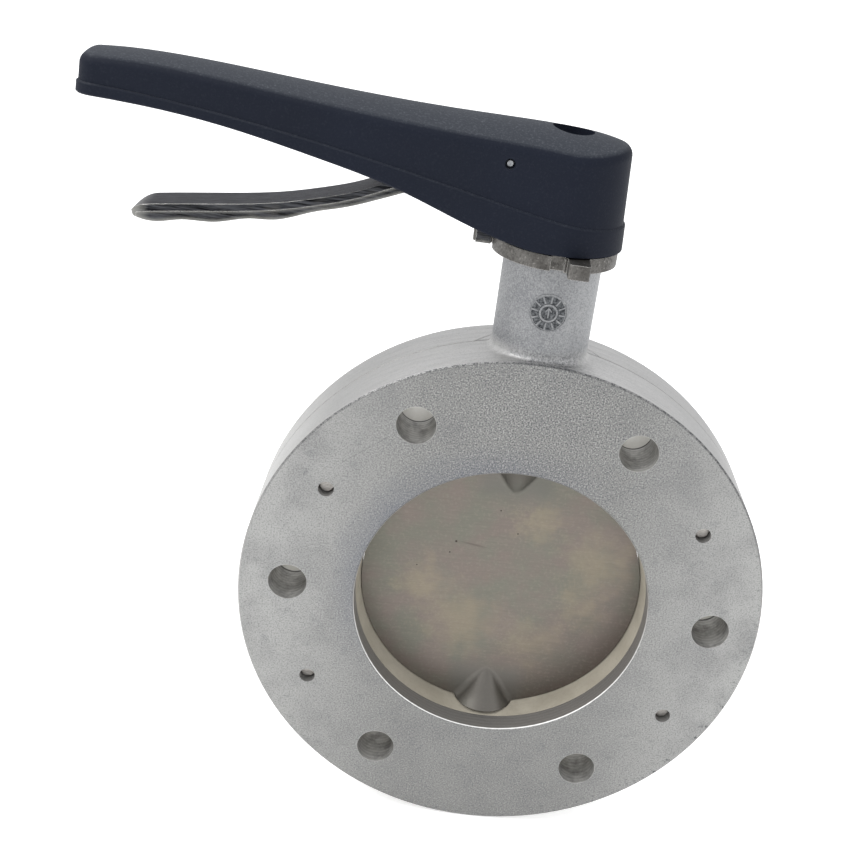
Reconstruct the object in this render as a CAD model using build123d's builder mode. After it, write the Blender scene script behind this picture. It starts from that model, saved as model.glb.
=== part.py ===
"""Lever-operated butterfly valve, DN 100, split aluminium body.

Millimetres. The pipe runs along Y, the stem along +Z, and the closed lever points to -X.
The origin is the centre of the bore, half-way through the body.
"""
from build123d import *
from math import acos, atan2, cos, hypot, pi, sin
import os

os.makedirs("parts", exist_ok=True)

# ---------------------------------------------------------------- driving dimensions
BORE_R = 50.0           # nominal bore, DN 100
FLANGE_R = 89.0
BODY_T = 36.0           # face to face
HALF_T = BODY_T / 2
BOLT_CIRCLE_R = 72.5    # 6 holes for M12
BOLT_HOLE_R = 6.5
DOWEL_R = 2.6
DOWEL_RECESS = 3.0      # how far a dowel's end lies below the face
LAP_R = 82.0            # the front half laps over the rear half outside this radius
LAP_Y = 2.5

SEAT_HALF_W = 10.3
SEAT_CREST_R = 49.05
SEAT_OUTER_R = 56.0
SEAT_RIB_R = 58.0
SEAT_RIB_HALF_W = 3.0
SEAT_PAD_Z = 48.7       # flat pad that the disc's boss turns on

DISC_R = 48.7
DISC_T = 4.5
BOSS_BASE_R = 10.3
BOSS_END_Z = 48.4
BOSS_SIDE = [(1.6, 34.4), (2.6, 36.0), (5.5, 41.0), (7.8, 45.0), (10.3, 48.4), (12.6, 51.4)]
BOSS_BLEND = 2.5
TRUNNION_R = 8.0
TRUNNION_TOP_Z = 70.0
TRUNNION_BOTTOM_Z = -66.9
TANG_T = 6.0
TANG_H = 8.0

RUNNING_GAP = 0.05      # radial clearance of a running fit
BUSH_R = 10.0
STEM_HOUSING_R = 8.15

NECK_R = 15.8
NECK_TOP_Z = 120.0
NECK_FILLET = 1.9
COLLAR_FLOOR_Z = 72.0   # above this the neck belongs to the front half alone
COLLAR_R = 16.3
COLLAR_BEVEL = 8.0
COLLAR_SHOULDER = 20.6
PARTING_GAP = 0.2

UPPER_BUSH_Z = 104.0
UPPER_BUSH_H = 10.0
WIPER_H = 2.5
STEM_COLLAR_R = 9.8
STEM_COLLAR_Z = 117.0
STEM_COLLAR_H = 2.8
STEM_SQUARE = 11.0
STEM_SQUARE_Z = 125.1
STEM_TOP_Z = 143.5

PLATE_R = 20.0
PLATE_T = 4.7
PLATE_TOP_Z = NECK_TOP_Z + PLATE_T
NOTCH_HALF_W = 2.1
NOTCH_FLOOR_R = 17.9
LUG_R = 26.0
LUG_NEAR = 3.1          # a stop lug's sides, measured from the notch's middle
LUG_FAR = 9.7
SCREW_CIRCLE_R = 13.0
SCREW_R = 1.9
SCREW_HEAD_R = 3.8
SCREW_L = 14.0

HUB_BOTTOM_Z = 125.3
HUB_R = 20.4            # lever's plan outline at its lower edge
LEVER_REACH = 149.4
GRIP_HALF_W = 12.8
GRIP_CORNER_R = 7.0
BEAD = 0.6              # how far the thick lower rim stands out
WALL = 3.0
DRAFT = 2.6             # degrees
TOP_EDGE_R = 3.5
CROWN_R = 36.0          # the lever's top is rounded across its width
CROWN_HALF_W = 28.0
INSERT_R = 10.0
HUB_BOSS_R = 12.5
RECESS_R = 6.6
RECESS_FLOOR_Z = 149.0
INSERT_TOP_Z = 144.0

PIVOT_X = -18.5
PIVOT_Z = 150.4
PIN_R = 1.2
PIN_HALF_L = 17.4
TRIGGER_HALF_W = 7.3
RIB_HALF_W = 5.7
EYE_R = 5.0
PAWL_INNER_X = -20.4    # clears the plate's rim
PAWL_OUTER_X = -25.3
PAWL_HALF_W = 1.8
SPRING_X = -37.0
SPRING_SEAT_Z = 145.0
SPRING_TOP_Z = 157.0
SPRING_R = 3.4
WIRE_R = 0.45

# Lever's side view, as (x, z) points along each edge
LEVER_TOP = [(30, 151.8), (20, 156.8), (10, 159.3), (0, 160.2), (-30, 160.6), (-60, 161.3),
             (-93, 163.2), (-121, 164.7), (-140, 164.5), (-160, 163.0)]
LEVER_BOTTOM = [(-160, 151.2), (-134, 151.2), (-104, 148.6), (-77, 143.8), (-48, 137.0), (-30, 130.8),
                (-8, 125.3)]
BEAD_LINE = [(30, 134.0), (0, 135.0), (-26, 139.6), (-50, 144.0), (-85, 149.6), (-120, 153.7),
             (-160, 155.4)]

# ---------------------------------------------------------------- body casting, both halves in one
with BuildPart() as casting:
    with BuildSketch(Plane.XZ):
        Circle(FLANGE_R)
    extrude(amount=HALF_T, both=True)
    with BuildSketch(Plane.XY.offset(COLLAR_FLOOR_Z)):
        Circle(NECK_R)
    extrude(amount=NECK_TOP_Z - COLLAR_FLOOR_Z)
    neck_foot = casting.edges().filter_by(lambda e: e.geom_type not in (GeomType.CIRCLE, GeomType.LINE))
    fillet(neck_foot, NECK_FILLET)
    rim_edges = casting.faces().filter_by(Axis.Y).edges().filter_by(GeomType.CIRCLE)
    chamfer(rim_edges, 0.5)
    # bore, seat groove and rib groove, turned in one setting
    with BuildSketch(Plane.XY):
        with BuildLine():
            Polyline(
                (0, -HALF_T), (BORE_R + 0.5, -HALF_T), (BORE_R, -HALF_T + 0.5),
                (BORE_R, -SEAT_HALF_W), (SEAT_OUTER_R, -SEAT_HALF_W),
                (SEAT_OUTER_R, -SEAT_RIB_HALF_W), (SEAT_RIB_R, -SEAT_RIB_HALF_W),
                (SEAT_RIB_R, SEAT_RIB_HALF_W), (SEAT_OUTER_R, SEAT_RIB_HALF_W),
                (SEAT_OUTER_R, SEAT_HALF_W), (BORE_R, SEAT_HALF_W),
                (BORE_R, HALF_T - 0.5), (BORE_R + 0.5, HALF_T), (0, HALF_T), close=True,
            )
        make_face()
    revolve(axis=Axis.Y, mode=Mode.SUBTRACT)
    # flange bolt holes and dowel holes on one circle
    with BuildSketch(Plane.XZ):
        with PolarLocations(BOLT_CIRCLE_R, 6):
            Circle(BOLT_HOLE_R)
        for angle in (30, 150, 210, 330):
            with PolarLocations(BOLT_CIRCLE_R, 1, start_angle=angle):
                Circle(DOWEL_R + RUNNING_GAP)
    extrude(amount=HALF_T, both=True, mode=Mode.SUBTRACT)
    # stem housing, bush seats and the pocket for the stem's collar
    for floor_z, top_z, radius in (
        (TRUNNION_BOTTOM_Z - 2.1, TRUNNION_TOP_Z + 2, BUSH_R),
        (COLLAR_FLOOR_Z, UPPER_BUSH_Z, STEM_HOUSING_R),
        (UPPER_BUSH_Z, STEM_COLLAR_Z - 0.2, BUSH_R),
        (STEM_COLLAR_Z - 0.2, NECK_TOP_Z, STEM_COLLAR_R + 0.4),
    ):
        with BuildSketch(Plane.XY.offset(floor_z)):
            Circle(radius)
        extrude(amount=top_z - floor_z, mode=Mode.SUBTRACT)
    # tapped holes for the plate screws
    with BuildSketch(Plane.XY.offset(NECK_TOP_Z)):
        with PolarLocations(SCREW_CIRCLE_R, 4, start_angle=45):
            Circle(SCREW_R + RUNNING_GAP)
    extrude(amount=-10.5, mode=Mode.SUBTRACT)
    # fine V line round the rim where the halves meet, stopping beside the neck
    with BuildSketch(Plane.XY):
        with BuildLine():
            Polyline(
                (FLANGE_R + 0.1, LAP_Y - 0.4), (FLANGE_R - 0.35, LAP_Y),
                (FLANGE_R + 0.1, LAP_Y + 0.4), close=True,
            )
        make_face()
    seam = revolve(axis=Axis.Y, mode=Mode.PRIVATE)
    beside_neck = Pos(0, 0, FLANGE_R) * Box(2 * COLLAR_SHOULDER, BODY_T, 60, mode=Mode.PRIVATE)
    add(seam - beside_neck, mode=Mode.SUBTRACT)


# ---------------------------------------------------------------- parting surface between the halves
def rear_half_space(gap):
    """Everything behind the stepped parting plane, notched so that it clears the neck by gap."""
    shoulder = COLLAR_SHOULDER + gap
    bevel_x = COLLAR_SHOULDER - COLLAR_BEVEL
    bevel_y = LAP_Y + COLLAR_BEVEL + gap
    with BuildPart() as space:
        with BuildSketch(Plane.XY):
            with BuildLine():
                Polyline(
                    (0, gap), (LAP_R - gap, gap), (LAP_R - gap, LAP_Y), (FLANGE_R + 5, LAP_Y),
                    (FLANGE_R + 5, HALF_T + 1), (0, HALF_T + 1), close=True,
                )
            make_face()
        revolve(axis=Axis.Y)
        with BuildSketch(Plane.XY.offset(COLLAR_FLOOR_Z - gap)):
            with BuildLine():
                Polyline(
                    (-shoulder, -1), (-shoulder, LAP_Y + gap), (-bevel_x, bevel_y), (bevel_x, bevel_y),
                    (shoulder, LAP_Y + gap), (shoulder, -1), close=True,
                )
            make_face()
            Circle(COLLAR_R + gap)
        extrude(amount=NECK_TOP_Z, mode=Mode.SUBTRACT)
    return space.part


with BuildPart() as body_front:
    add(casting.part)
    add(rear_half_space(0), mode=Mode.SUBTRACT)
body_front.part.label = "body_front"
export_step(body_front.part, "parts/body_front.step")

with BuildPart() as body_rear:
    add(casting.part)
    add(rear_half_space(PARTING_GAP), mode=Mode.INTERSECT)
body_rear.part.label = "body_rear"
export_step(body_rear.part, "parts/body_rear.step")

# ---------------------------------------------------------------- dowels that join the halves
with BuildPart() as joining_dowels:
    with BuildSketch(Plane.XZ):
        for angle in (30, 150, 210, 330):
            with PolarLocations(BOLT_CIRCLE_R, 1, start_angle=angle):
                Circle(DOWEL_R)
    extrude(amount=HALF_T - DOWEL_RECESS, both=True)
    chamfer(joining_dowels.edges().filter_by(GeomType.CIRCLE), 0.5)
joining_dowels.part.label = "joining_dowels"
export_step(joining_dowels.part, "parts/joining_dowels.step")

# ---------------------------------------------------------------- elastomer seat ring
with BuildPart() as seat_ring:
    with BuildSketch(Plane.XY):
        with BuildLine():
            ThreePointArc((BORE_R, -SEAT_HALF_W), (SEAT_CREST_R, 0), (BORE_R, SEAT_HALF_W))
            Polyline(
                (BORE_R, SEAT_HALF_W), (SEAT_OUTER_R, SEAT_HALF_W), (SEAT_OUTER_R, SEAT_RIB_HALF_W),
                (SEAT_RIB_R, SEAT_RIB_HALF_W), (SEAT_RIB_R, -SEAT_RIB_HALF_W),
                (SEAT_OUTER_R, -SEAT_RIB_HALF_W), (SEAT_OUTER_R, -SEAT_HALF_W), (BORE_R, -SEAT_HALF_W),
            )
        make_face()
    revolve(axis=Axis.Y)
    with BuildSketch(Plane.XY):
        Circle(TRUNNION_R + RUNNING_GAP)
    extrude(amount=SEAT_RIB_R + 1, both=True, mode=Mode.SUBTRACT)
    with BuildSketch(Plane.XY):
        Circle(BOSS_BASE_R + 0.35)
    extrude(amount=SEAT_PAD_Z, both=True, mode=Mode.SUBTRACT)
seat_ring.part.label = "seat_ring"
export_step(seat_ring.part, "parts/seat_ring.step")

# ---------------------------------------------------------------- disc, cast in one with its trunnions
with BuildPart() as disc:
    # a plate wider than the disc, so that the bosses can be blended into it before the rim is turned
    with BuildSketch(Plane.XZ):
        Circle(DISC_R + 10)
    extrude(amount=DISC_T / 2, both=True)
    for side in (1, -1):
        with BuildSketch(Plane.XZ):
            with BuildLine():
                Spline(*[(r, side * z) for r, z in BOSS_SIDE])
                Polyline(
                    (BOSS_SIDE[-1][0], side * BOSS_SIDE[-1][1]), (0, side * BOSS_SIDE[-1][1]),
                    (0, side * BOSS_SIDE[0][1]), (BOSS_SIDE[0][0], side * BOSS_SIDE[0][1]),
                )
            make_face()
        revolve(axis=Axis.Z)
    face_edges = disc.faces().filter_by(Axis.Y).edges()
    boss_seams = face_edges.filter_by(lambda e: e.geom_type not in (GeomType.CIRCLE, GeomType.LINE))
    fillet(boss_seams, BOSS_BLEND)
    with BuildSketch(Plane.XZ):
        Circle(DISC_R)
    rim = extrude(amount=30, both=True, mode=Mode.PRIVATE)
    with BuildSketch(Plane.XY):
        Circle(BOSS_BASE_R)
    ends = extrude(amount=BOSS_END_Z, both=True, mode=Mode.PRIVATE)
    with BuildSketch(Plane.XY):
        Rectangle(2 * DISC_R + 2, 2 * BOSS_BASE_R)
    flats = extrude(amount=BOSS_END_Z, both=True, mode=Mode.PRIVATE)
    add((rim & flats) + ends, mode=Mode.INTERSECT)
    for side, end_z in ((1, TRUNNION_TOP_Z), (-1, -TRUNNION_BOTTOM_Z)):
        with BuildSketch(Plane.XZ):
            with BuildLine():
                Polyline(
                    (0, side * (BOSS_END_Z - 1)), (TRUNNION_R, side * (BOSS_END_Z - 1)),
                    (TRUNNION_R, side * (end_z - 0.5)), (TRUNNION_R - 0.5, side * end_z),
                    (0, side * end_z), close=True,
                )
            make_face()
        revolve(axis=Axis.Z)
    # driving tang on the upper trunnion
    with BuildSketch(Plane.XY.offset(TRUNNION_TOP_Z - 1)):
        Circle(TRUNNION_R - 0.5)
        Rectangle(2 * TRUNNION_R, TANG_T, mode=Mode.INTERSECT)
    extrude(amount=TANG_H + 1)
disc.part.label = "disc"
export_step(disc.part, "parts/disc.step")

# ---------------------------------------------------------------- drive stem, slotted below, squared above
O_RING_Z = (88.0, 94.0)
O_RING_WIRE_R = 0.84
O_RING_R = STEM_HOUSING_R - RUNNING_GAP - O_RING_WIRE_R
GROOVE_FLOOR_R = O_RING_R - O_RING_WIRE_R
GROOVE_W = 2.4
LEVER_BOLT_R = 3.0

with BuildPart() as drive_stem:
    with BuildSketch(Plane.XY.offset(TRUNNION_TOP_Z + 0.2)):
        Circle(TRUNNION_R)
    extrude(amount=STEM_SQUARE_Z - TRUNNION_TOP_Z - 0.2)
    with BuildSketch(Plane.XY.offset(STEM_COLLAR_Z)):
        Circle(STEM_COLLAR_R)
    extrude(amount=STEM_COLLAR_H)
    with BuildSketch(Plane.XY.offset(STEM_SQUARE_Z)):
        Rectangle(STEM_SQUARE, STEM_SQUARE)
    extrude(amount=STEM_TOP_Z - STEM_SQUARE_Z)
    chamfer(drive_stem.faces().sort_by(Axis.Z)[-1].edges(), 0.6)
    # slot that takes the trunnion's tang
    with BuildSketch(Plane.XY.offset(TRUNNION_TOP_Z)):
        Rectangle(2 * TRUNNION_R + 1, TANG_T + 2 * RUNNING_GAP)
    extrude(amount=TANG_H + 0.4, mode=Mode.SUBTRACT)
    for ring_z in O_RING_Z:
        with BuildSketch(Plane.XY.offset(ring_z - GROOVE_W / 2)):
            Circle(TRUNNION_R + 1)
            Circle(GROOVE_FLOOR_R, mode=Mode.SUBTRACT)
        extrude(amount=GROOVE_W, mode=Mode.SUBTRACT)
    with BuildSketch(Plane.XY.offset(STEM_TOP_Z)):
        Circle(LEVER_BOLT_R)
    extrude(amount=-15, mode=Mode.SUBTRACT)
drive_stem.part.label = "drive_stem"
export_step(drive_stem.part, "parts/drive_stem.step")

with BuildPart() as stem_o_rings:
    for ring_z in O_RING_Z:
        with BuildSketch(Plane.XZ):
            with Locations((O_RING_R, ring_z)):
                Circle(O_RING_WIRE_R)
        revolve(axis=Axis.Z)
stem_o_rings.part.label = "stem_o_rings"
export_step(stem_o_rings.part, "parts/stem_o_rings.step")


# ---------------------------------------------------------------- bushes, wiper and thrust washer
def ring(name, floor_z, height, outer_r, inner_r, edge=0.3):
    """A turned ring on the stem's axis, with broken edges."""
    with BuildPart() as turned:
        with BuildSketch(Plane.XY.offset(floor_z)):
            Circle(outer_r)
            if inner_r:
                Circle(inner_r, mode=Mode.SUBTRACT)
        extrude(amount=height)
        if edge:
            chamfer(turned.edges().filter_by(GeomType.CIRCLE), edge)
    turned.part.label = name
    export_step(turned.part, f"parts/{name}.step")
    return turned.part


BUSH_BORE_R = TRUNNION_R + RUNNING_GAP
trunnion_bush = ring("trunnion_bush", -66.8, 66.8 - SEAT_RIB_R - 0.2, BUSH_R, BUSH_BORE_R)
lower_stem_bush = ring("lower_stem_bush", SEAT_RIB_R + 0.2, 11.5, BUSH_R, BUSH_BORE_R)
upper_stem_bush = ring("upper_stem_bush", UPPER_BUSH_Z, UPPER_BUSH_H, BUSH_R, BUSH_BORE_R)
stem_wiper = ring("stem_wiper", UPPER_BUSH_Z + UPPER_BUSH_H + 0.1, WIPER_H, BUSH_R, BUSH_BORE_R)
thrust_washer = ring("thrust_washer", TRUNNION_BOTTOM_Z - 2.1, 2.0, BUSH_R, 0)

# ---------------------------------------------------------------- notched plate on top of the neck
NOTCH_L = 10.0
LUG_MID = (LUG_NEAR + LUG_FAR) / 2
LUG_W = LUG_FAR - LUG_NEAR

with BuildPart() as notch_plate:
    with BuildSketch(Plane.XY.offset(NECK_TOP_Z)):
        Circle(PLATE_R)
        # a stop lug beyond each end of the quarter turn, closed and open
        with Locations((-LUG_R / 2, LUG_MID)):
            Rectangle(LUG_R, LUG_W)
        with Locations((LUG_MID, -LUG_R / 2)):
            Rectangle(LUG_W, LUG_R)
        # the notches that the pawl drops into
        with Locations((-NOTCH_FLOOR_R - NOTCH_L / 2, 0)):
            Rectangle(NOTCH_L, 2 * NOTCH_HALF_W, mode=Mode.SUBTRACT)
        with Locations((0, -NOTCH_FLOOR_R - NOTCH_L / 2)):
            Rectangle(2 * NOTCH_HALF_W, NOTCH_L, mode=Mode.SUBTRACT)
        Circle(TRUNNION_R + 0.4, mode=Mode.SUBTRACT)
    extrude(amount=PLATE_T)
    upright = notch_plate.edges().filter_by(Axis.Z)
    fillet(upright.filter_by(lambda e: min(e.center().X, e.center().Y) < -PLATE_R - 1), 0.8)
    with Locations(Plane.XY.offset(PLATE_TOP_Z)):
        with PolarLocations(SCREW_CIRCLE_R, 4, start_angle=45):
            CounterSinkHole(SCREW_R + 0.3, SCREW_HEAD_R + 0.2)
notch_plate.part.label = "notch_plate"
export_step(notch_plate.part, "parts/notch_plate.step")

with BuildPart() as plate_screws:
    with BuildSketch(Plane.XZ):
        with BuildLine():
            Polyline(
                (0, PLATE_TOP_Z), (SCREW_HEAD_R, PLATE_TOP_Z),
                (SCREW_R, PLATE_TOP_Z - SCREW_HEAD_R + SCREW_R), (SCREW_R, PLATE_TOP_Z - SCREW_L),
                (0, PLATE_TOP_Z - SCREW_L), close=True,
            )
        make_face()
    one_screw = revolve(axis=Axis.Z, mode=Mode.PRIVATE)
    with BuildSketch(Plane.XY.offset(PLATE_TOP_Z)):
        RegularPolygon(1.45, 6)
    socket = extrude(amount=-1.8, mode=Mode.PRIVATE)
    with PolarLocations(SCREW_CIRCLE_R, 4, start_angle=45):
        add(one_screw - socket)
plate_screws.part.label = "plate_screws"
export_step(plate_screws.part, "parts/plate_screws.step")


# ---------------------------------------------------------------- lever: hollow, open below
def lever_plan(grow):
    """Plan outline of the lever, a hub drawn out to a narrower grip, offset outwards by grow."""
    hub_r = HUB_R + grow
    corner_r = GRIP_CORNER_R + grow
    corner_x = -LEVER_REACH + GRIP_CORNER_R
    corner_y = GRIP_HALF_W - GRIP_CORNER_R
    # direction from each centre to where the straight side touches its arc
    side = atan2(corner_y, corner_x) - acos((hub_r - corner_r) / hypot(corner_x, corner_y))
    halfway = (side + pi) / 2
    hub_touch = (hub_r * cos(side), hub_r * sin(side))
    grip_touch = (corner_x + corner_r * cos(side), corner_y + corner_r * sin(side))
    corner_mid = (corner_x + corner_r * cos(halfway), corner_y + corner_r * sin(halfway))
    end_touch = (corner_x - corner_r, corner_y)
    with BuildSketch(Plane.XY.offset(HUB_BOTTOM_Z)) as plan:
        with BuildLine():
            ThreePointArc((hub_touch[0], -hub_touch[1]), (hub_r, 0), hub_touch)
            Line(hub_touch, grip_touch)
            ThreePointArc(grip_touch, corner_mid, end_touch)
            Line(end_touch, (end_touch[0], -end_touch[1]))
            ThreePointArc(
                (end_touch[0], -end_touch[1]), (corner_mid[0], -corner_mid[1]),
                (grip_touch[0], -grip_touch[1]),
            )
            Line((grip_touch[0], -grip_touch[1]), (hub_touch[0], -hub_touch[1]))
        make_face()
    return plan.sketch


def lever_block(grow, top, bottom):
    """The plan outline drawn up with draft, kept between two edges of the side view."""
    with BuildPart() as block:
        add(lever_plan(grow))
        extrude(amount=45, taper=DRAFT)
        with BuildSketch(Plane.XZ.offset(-HUB_R - 10)):
            with BuildLine():
                Spline(*top)
                Line(top[-1], bottom[0])
                Spline(*bottom)
                Line(bottom[-1], (top[0][0], bottom[-1][1]))
                Line((top[0][0], bottom[-1][1]), top[0])
            make_face()
        extrude(amount=2 * HUB_R + 20, mode=Mode.INTERSECT)
    return block.part


def crown(drop):
    """Everything under the lever's crowned top, lowered by drop."""
    sag = CROWN_R - (CROWN_R**2 - CROWN_HALF_W**2) ** 0.5
    floor_z = HUB_BOTTOM_Z - 10
    with BuildPart() as under:
        for x, z in LEVER_TOP:
            top_z = z - drop
            with BuildSketch(Plane.YZ.offset(x)):
                with BuildLine():
                    ThreePointArc((-CROWN_HALF_W, top_z - sag), (0, top_z), (CROWN_HALF_W, top_z - sag))
                    Polyline(
                        (CROWN_HALF_W, top_z - sag), (CROWN_HALF_W, floor_z),
                        (-CROWN_HALF_W, floor_z), (-CROWN_HALF_W, top_z - sag),
                    )
                make_face()
        loft()
    return under.part


def lowered(points, drop):
    """The same edge of the side view, moved down."""
    return [(x, z - drop) for x, z in points]


LEVER_CEILING = [(30, 170), (-65, 170), (-160, 170)]

with BuildPart() as lever_cavity:
    add(lever_block(-WALL, LEVER_CEILING, lowered(LEVER_BOTTOM, 4)))
    add(crown(WALL), mode=Mode.INTERSECT)

# thicker band along the lower edge, sloped off above
with BuildPart() as lever_bead:
    add(lever_block(BEAD, BEAD_LINE, LEVER_BOTTOM))
    chamfer(lever_bead.faces().sort_by(Axis.Z)[-1].edges(), BEAD - 0.1)

# boss inside the hub, from the lower edge up into the roof
with BuildPart() as hub_boss:
    with BuildSketch(Plane.XY.offset(HUB_BOTTOM_Z)):
        Circle(HUB_BOSS_R)
    extrude(amount=45)
    add(crown(WALL / 2), mode=Mode.INTERSECT)

with BuildPart() as lever:
    add(lever_block(0, LEVER_CEILING, LEVER_BOTTOM))
    add(crown(0), mode=Mode.INTERSECT)
    roof = lever.faces().sort_by(Axis.Z)[-1]
    fillet(roof.edges(), TOP_EDGE_R)
    add(lever_bead.part)
    add(lever_cavity.part, mode=Mode.SUBTRACT)
    add(hub_boss.part)
    # pocket for the steel insert, clearance hole and the round recess over the bolt
    for floor_z, top_z, radius in (
        (HUB_BOTTOM_Z, INSERT_TOP_Z, INSERT_R),
        (INSERT_TOP_Z, RECESS_FLOOR_Z, LEVER_BOLT_R + 0.3),
        (RECESS_FLOOR_Z, 170.0, RECESS_R),
    ):
        with BuildSketch(Plane.XY.offset(floor_z)):
            Circle(radius)
        extrude(amount=top_z - floor_z, mode=Mode.SUBTRACT)
    # cross hole for the trigger's pin, opened out at the skin
    with BuildSketch(Plane.XZ):
        with Locations((PIVOT_X, PIVOT_Z)):
            Circle(PIN_R + RUNNING_GAP)
    extrude(amount=HUB_R + 2, both=True, mode=Mode.SUBTRACT)
    for side in (1, -1):
        with BuildSketch(Plane.XZ.offset(side * (PIN_HALF_L - 0.2))):
            with Locations((PIVOT_X, PIVOT_Z)):
                Circle(PIN_R + 0.4)
        extrude(amount=side * 5, mode=Mode.SUBTRACT)
lever.part.label = "lever"
export_step(lever.part, "parts/lever.step")

with BuildPart() as hub_insert:
    with BuildSketch(Plane.XY.offset(HUB_BOTTOM_Z)):
        Circle(INSERT_R)
        Rectangle(STEM_SQUARE + 2 * RUNNING_GAP, STEM_SQUARE + 2 * RUNNING_GAP, mode=Mode.SUBTRACT)
    extrude(amount=INSERT_TOP_Z - HUB_BOTTOM_Z)
hub_insert.part.label = "hub_insert"
export_step(hub_insert.part, "parts/hub_insert.step")

# ---------------------------------------------------------------- bolt and washer in the recess
WASHER_T = 1.2
lever_washer = ring("lever_washer", RECESS_FLOOR_Z, WASHER_T, RECESS_R - 0.5, LEVER_BOLT_R + 0.2, 0.2)

with BuildPart() as lever_bolt:
    head_z = RECESS_FLOOR_Z + WASHER_T
    with BuildSketch(Plane.XY.offset(head_z)):
        Circle(5.0)
    extrude(amount=6.0)
    chamfer(lever_bolt.edges().filter_by(GeomType.CIRCLE).sort_by(Axis.Z)[-1], 0.5)
    with BuildSketch(Plane.XY.offset(head_z)):
        Circle(LEVER_BOLT_R - RUNNING_GAP)
    extrude(amount=-19.0)
    with BuildSketch(Plane.XY.offset(head_z + 6.0)):
        RegularPolygon(2.9, 6)
    extrude(amount=-3.2, mode=Mode.SUBTRACT)
lever_bolt.part.label = "lever_bolt"
export_step(lever_bolt.part, "parts/lever_bolt.step")

# ---------------------------------------------------------------- trigger, its pin and its spring
# Side view of the trigger: the upper face runs from under the eye to the grip's tip
TRIGGER_TOP = [(-23.0, 150.2), (-40.0, 143.6), (-54.3, 137.2), (-64.7, 132.6), (-75.3, 129.2),
               (-86.0, 126.4), (-102.0, 123.6), (-118.0, 121.4), (-126.0, 120.2)]
STRIP_T = 2.4
RIB_BOTTOM = [(-130.0, 115.2), (-123.5, 114.6), (-116.0, 116.2), (-106.3, 116.8), (-95.6, 119.4),
              (-88.0, 120.1), (-76.3, 124.2), (-67.2, 126.9), (-59.2, 129.9), (-44.0, 136.4)]

TIP_X = -132.6
TIP_Z = 115.9
TIP_CORNER_R = TRIGGER_HALF_W - 0.2     # almost a half-round end

with BuildPart() as trigger:
    # upper strip, as wide as the grip, with its long edges eased
    with BuildSketch(Plane.XZ.offset(-TRIGGER_HALF_W)):
        with BuildLine():
            Spline(*TRIGGER_TOP)
            ThreePointArc(TRIGGER_TOP[-1], (-129.8, 118.8), (TIP_X, TIP_Z))
            Line((TIP_X, TIP_Z), (TRIGGER_TOP[-1][0], TRIGGER_TOP[-1][1] - STRIP_T))
            Spline(*lowered(TRIGGER_TOP[::-1], STRIP_T))
            Line(lowered(TRIGGER_TOP, STRIP_T)[0], TRIGGER_TOP[0])
        make_face()
    extrude(amount=2 * TRIGGER_HALF_W)
    # narrower rib beneath it, with the finger scallops
    with BuildSketch(Plane.XZ.offset(-RIB_HALF_W)):
        with BuildLine():
            Spline(*lowered(TRIGGER_TOP, 1.0))
            ThreePointArc((TRIGGER_TOP[-1][0], TRIGGER_TOP[-1][1] - 1.0), (-129.6, 118.0), (-131.9, 116.0))
            ThreePointArc((-131.9, 116.0), (-131.3, 115.3), RIB_BOTTOM[0])
            Spline(*RIB_BOTTOM)
            Polyline(RIB_BOTTOM[-1], (-27.0, 144.6), (-23.0, 149.2))
        make_face()
    extrude(amount=2 * RIB_HALF_W)
    # the grip's end is rounded in plan
    with BuildSketch(Plane.XY.offset(PLATE_TOP_Z - 20)):
        with Locations((TIP_X / 2 + 5, 0)):
            RectangleRounded(-TIP_X + 10, 2 * TRIGGER_HALF_W + 0.02, TIP_CORNER_R)
    extrude(amount=60, mode=Mode.INTERSECT)
    # eye on the pin, and the pawl that hangs beside the plate
    with BuildSketch(Plane.XZ.offset(-RIB_HALF_W)):
        with Locations((PIVOT_X, PIVOT_Z)):
            Circle(EYE_R)
        with BuildLine():
            Polyline((-22.0, 154.5), (-30.0, 147.3), (-27.5, 133.0), (-25.3, 128.4), (-19.4, 128.4),
                     (-15.5, 147.5), (-22.0, 154.5))
        make_face()
    extrude(amount=2 * RIB_HALF_W)
    with BuildSketch(Plane.XZ.offset(-PAWL_HALF_W)):
        with BuildLine():
            Polyline((PAWL_OUTER_X, 129.0), (PAWL_OUTER_X, 120.9), (PAWL_INNER_X, 120.9),
                     (PAWL_INNER_X, 125.8), (-19.4, 127.0), (-19.4, 129.0), close=True)
        make_face()
    extrude(amount=2 * PAWL_HALF_W)
    # hole for the pin, and a flat seat for the spring
    with BuildSketch(Plane.XZ.offset(-HUB_R)):
        with Locations((PIVOT_X, PIVOT_Z)):
            Circle(PIN_R + RUNNING_GAP)
    extrude(amount=2 * HUB_R, mode=Mode.SUBTRACT)
    with BuildSketch(Plane.XY.offset(SPRING_SEAT_Z)):
        with Locations((SPRING_X, 0)):
            Circle(SPRING_R + WIRE_R + 0.6)
    extrude(amount=12, mode=Mode.SUBTRACT)
trigger.part.label = "trigger"
export_step(trigger.part, "parts/trigger.step")

with BuildPart() as trigger_pin:
    with BuildSketch(Plane.XZ):
        with Locations((PIVOT_X, PIVOT_Z)):
            Circle(PIN_R)
    extrude(amount=PIN_HALF_L, both=True)
    chamfer(trigger_pin.edges().filter_by(GeomType.CIRCLE).sort_by(Axis.Y)[0], 0.3)
    chamfer(trigger_pin.edges().filter_by(GeomType.CIRCLE).sort_by(Axis.Y)[-1], 0.3)
trigger_pin.part.label = "trigger_pin"
export_step(trigger_pin.part, "parts/trigger_pin.step")

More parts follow.
